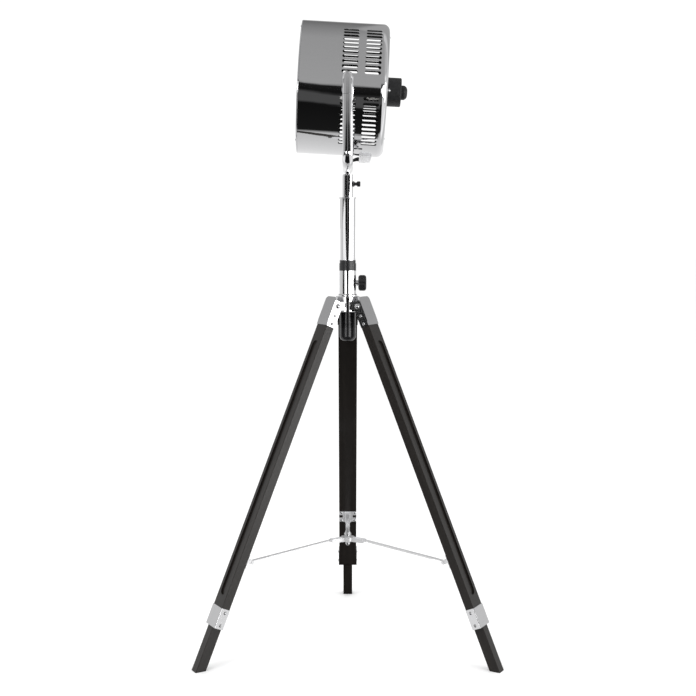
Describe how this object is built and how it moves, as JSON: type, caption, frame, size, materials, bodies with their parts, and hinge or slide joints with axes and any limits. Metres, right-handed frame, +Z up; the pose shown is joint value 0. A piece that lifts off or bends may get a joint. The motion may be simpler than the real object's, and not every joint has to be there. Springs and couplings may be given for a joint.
{
  "type": "tripod floor lamp",
  "caption": "Spotlight floor lamp: a chromed drum shade tilts in a U yoke on a sliding column over a folding black wooden tripod.",
  "frame": {"origin": "on the floor, on the column's axis, between the three feet", "axes": "+Z up; the lamp shines towards -X; the rear leg points along +Y"},
  "size_m": [0.7516, 0.6512, 1.5632],
  "materials": {
    "black_wood": "satin black stain over wood",
    "chrome_plate": "polished chrome plate",
    "bracket_chrome": "polished chrome plate",
    "fastener_steel": "bright zinc",
    "black_plastic": "fine matt black",
    "socket_ceramic": "glazed white",
    "cap_metal": "bright",
    "bulb_frosted": "frosted"
  },
  "bodies": {
    "head": {"drum_shell": "chrome_plate", "front_ring": "chrome_plate", "shell_screws": "fastener_steel", "switch_housing": "black_plastic", "housing_screws": "fastener_steel", "switch_body": "black_plastic", "socket_bracket": "fastener_steel", "lamp_socket": "socket_ceramic", "bulb_cap": "cap_metal", "bulb_glass": "bulb_frosted", "lead_wires": "black_plastic", "pivot_bolts": "fastener_steel", "pivot_washers": "fastener_steel", "pivot_nuts": "fastener_steel", "wire_cover": "chrome_plate", "cable_gland": "black_plastic"},
    "switch_knob_body": {"switch_knob": "black_plastic"},
    "yoke_body": {"yoke": "chrome_plate", "yoke_caps": "chrome_plate", "cap_screws": "fastener_steel", "swivel_spigot": "chrome_plate"},
    "mast": {"mast_tube": "chrome_plate", "mast_bush": "black_plastic", "tube_flange": "chrome_plate", "stem_tube": "chrome_plate"},
    "thumb_screw_body": {"thumb_screw": "black_plastic"},
    "stand": {"hub_casting": "chrome_plate", "hinge_bolts": "fastener_steel", "hinge_nuts": "fastener_steel", "sleeve": "chrome_plate", "end_cap": "black_plastic", "clamp_collar": "black_plastic", "collar_bush": "black_plastic"},
    "clamp_knob_body": {"clamp_knob": "black_plastic", "clamp_stud": "fastener_steel"},
    "spreader_hub_body": {"spreader_hub": "bracket_chrome", "hub_spindle": "fastener_steel"},
    "leg_left": {"upper_leg_left": "black_wood", "leg_bracket_left": "bracket_chrome", "leg_clamp_left": "bracket_chrome", "leg_screws_left": "fastener_steel", "spreader_bracket_left": "bracket_chrome"},
    "lower_leg_body_left": {"lower_leg_left": "black_wood"},
    "arm_left": {"spreader_arm_left": "bracket_chrome"},
    "leg_right": {"upper_leg_right": "black_wood", "leg_bracket_right": "bracket_chrome", "leg_clamp_right": "bracket_chrome", "leg_screws_right": "fastener_steel", "spreader_bracket_right": "bracket_chrome"},
    "lower_leg_body_right": {"lower_leg_right": "black_wood"},
    "arm_right": {"spreader_arm_right": "bracket_chrome"},
    "leg_rear": {"upper_leg_rear": "black_wood", "leg_bracket_rear": "bracket_chrome", "leg_clamp_rear": "bracket_chrome", "leg_screws_rear": "fastener_steel", "spreader_bracket_rear": "bracket_chrome"},
    "lower_leg_body_rear": {"lower_leg_rear": "black_wood"},
    "arm_rear": {"spreader_arm_rear": "bracket_chrome"}
  },
  "joints": [
    {"name": "mast_slide", "type": "slide", "parent": "stand", "child": "mast", "axis": [0, 0, 1], "range_m": [-0.066, 0.045]},
    {"name": "yoke_swivel", "type": "hinge", "parent": "mast", "child": "yoke_body", "pos_m": [0, 0, 1.17], "axis": [0, 0, 1], "range_deg": [-170, 170]},
    {"name": "head_tilt", "type": "hinge", "parent": "yoke_body", "child": "head", "pos_m": [0, 0, 1.397], "axis": [0, 1, 0], "range_deg": [-27, 87]},
    {"name": "switch_turn", "type": "hinge", "parent": "head", "child": "switch_knob_body", "pos_m": [0.13479, 0, 1.38946], "axis": [0.9984, 0, -0.0558], "range_deg": [0, 270]},
    {"name": "thumb_screw_turn", "type": "hinge", "parent": "mast", "child": "thumb_screw_body", "pos_m": [0.02, 0, 1.167], "axis": [1, 0, 0], "continuous": true},
    {"name": "clamp_knob_turn", "type": "hinge", "parent": "stand", "child": "clamp_knob_body", "pos_m": [0.03, 0, 0.922], "axis": [1, 0, 0], "continuous": true},
    {"name": "leg_rear_fold", "type": "hinge", "parent": "stand", "child": "leg_rear", "pos_m": [0, 0.0423, 0.86614], "axis": [-1, 0, 0], "range_deg": [0, 20]},
    {"name": "lower_leg_rear_slide", "type": "slide", "parent": "leg_rear", "child": "lower_leg_body_rear", "axis": [0, 0.3955, -0.9184], "range_m": [0, 0.12]},
    {"name": "arm_rear_fold", "type": "hinge", "parent": "leg_rear", "child": "arm_rear", "pos_m": [0, 0.272, 0.247], "axis": [-1, 0, 0], "range_deg": [0, 64.5]},
    {"name": "leg_left_fold", "type": "hinge", "parent": "stand", "child": "leg_left", "pos_m": [-0.03663, -0.02115, 0.86614], "axis": [0.5, -0.866, 0], "range_deg": [0, 20]},
    {"name": "lower_leg_left_slide", "type": "slide", "parent": "leg_left", "child": "lower_leg_body_left", "axis": [-0.3426, -0.1978, -0.9184], "range_m": [0, 0.12]},
    {"name": "arm_left_fold", "type": "hinge", "parent": "leg_left", "child": "arm_left", "pos_m": [-0.23556, -0.136, 0.247], "axis": [0.5, -0.866, 0], "range_deg": [0, 64.5]},
    {"name": "leg_right_fold", "type": "hinge", "parent": "stand", "child": "leg_right", "pos_m": [0.03663, -0.02115, 0.86614], "axis": [0.5, 0.866, 0], "range_deg": [0, 20]},
    {"name": "lower_leg_right_slide", "type": "slide", "parent": "leg_right", "child": "lower_leg_body_right", "axis": [0.3426, -0.1978, -0.9184], "range_m": [0, 0.12]},
    {"name": "arm_right_fold", "type": "hinge", "parent": "leg_right", "child": "arm_right", "pos_m": [0.23556, -0.136, 0.247], "axis": [0.5, 0.866, 0], "range_deg": [0, 64.5]},
    {"name": "spreader_hub_slide", "type": "slide", "parent": "stand", "child": "spreader_hub_body", "axis": [0, 0, 1], "range_m": [0, 0.1635]}
  ],
  "couplings": [
    {"joint": "arm_rear_fold", "follows": "leg_rear_fold", "ratio": 3.2045},
    {"joint": "leg_left_fold", "follows": "leg_rear_fold", "ratio": 1},
    {"joint": "arm_left_fold", "follows": "leg_rear_fold", "ratio": 3.2045},
    {"joint": "leg_right_fold", "follows": "leg_rear_fold", "ratio": 1},
    {"joint": "arm_right_fold", "follows": "leg_rear_fold", "ratio": 3.2045},
    {"joint": "spreader_hub_slide", "follows": "leg_rear_fold", "m_per_rad": 0.4668}
  ]
}
